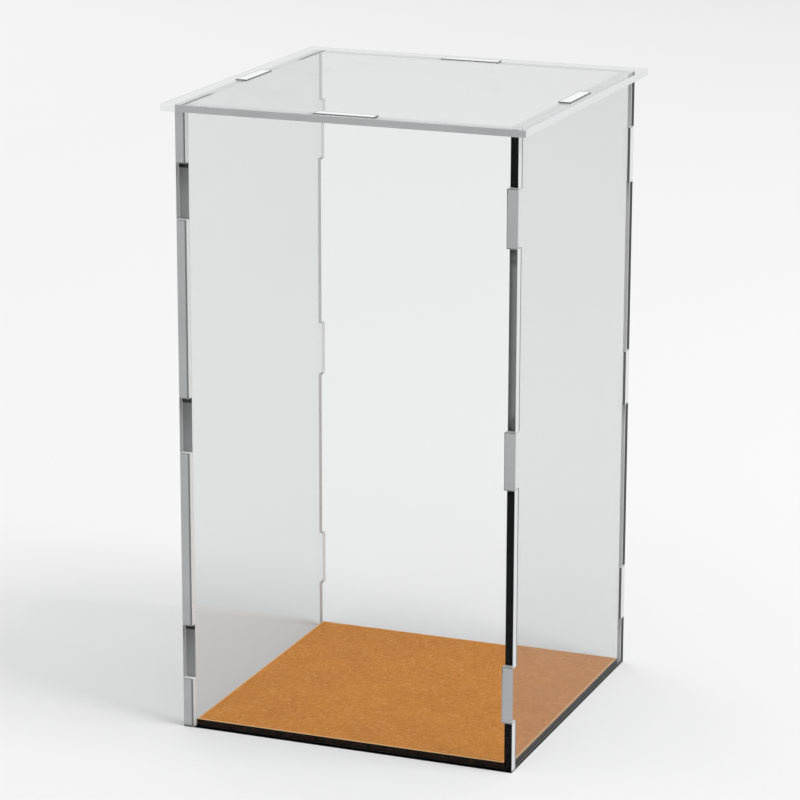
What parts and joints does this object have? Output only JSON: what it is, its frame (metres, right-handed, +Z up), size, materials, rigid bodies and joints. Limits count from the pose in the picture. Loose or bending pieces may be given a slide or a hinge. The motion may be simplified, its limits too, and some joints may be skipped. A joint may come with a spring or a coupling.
{
  "type": "display case",
  "caption": "Tall clear display case of interlocking sheets: four tabbed walls and a slotted top panel that lift off a thin fibreboard base.",
  "frame": {"origin": "on the ground, under the middle of the case", "axes": "+Z up, the front wall faces -Y, the right wall faces +X"},
  "size_m": [0.106, 0.106, 0.1813],
  "materials": {
    "clear_acrylic": "clear, polished faces and laser-cut edges",
    "fibreboard": "smooth pressed faces and dark laser-charred edges"
  },
  "bodies": {
    "base": {"base_board": "fibreboard"},
    "cover": {"front_wall": "clear_acrylic", "right_wall": "clear_acrylic", "back_wall": "clear_acrylic", "left_wall": "clear_acrylic"},
    "top": {"top_panel": "clear_acrylic"}
  },
  "joints": [
    {"name": "cover_lift", "type": "slide", "parent": "base", "child": "cover", "axis": [0, 0, 1], "range_m": [0, 0.2]},
    {"name": "top_panel_lift", "type": "slide", "parent": "cover", "child": "top", "axis": [0, 0, 1], "range_m": [0, 0.03]}
  ]
}
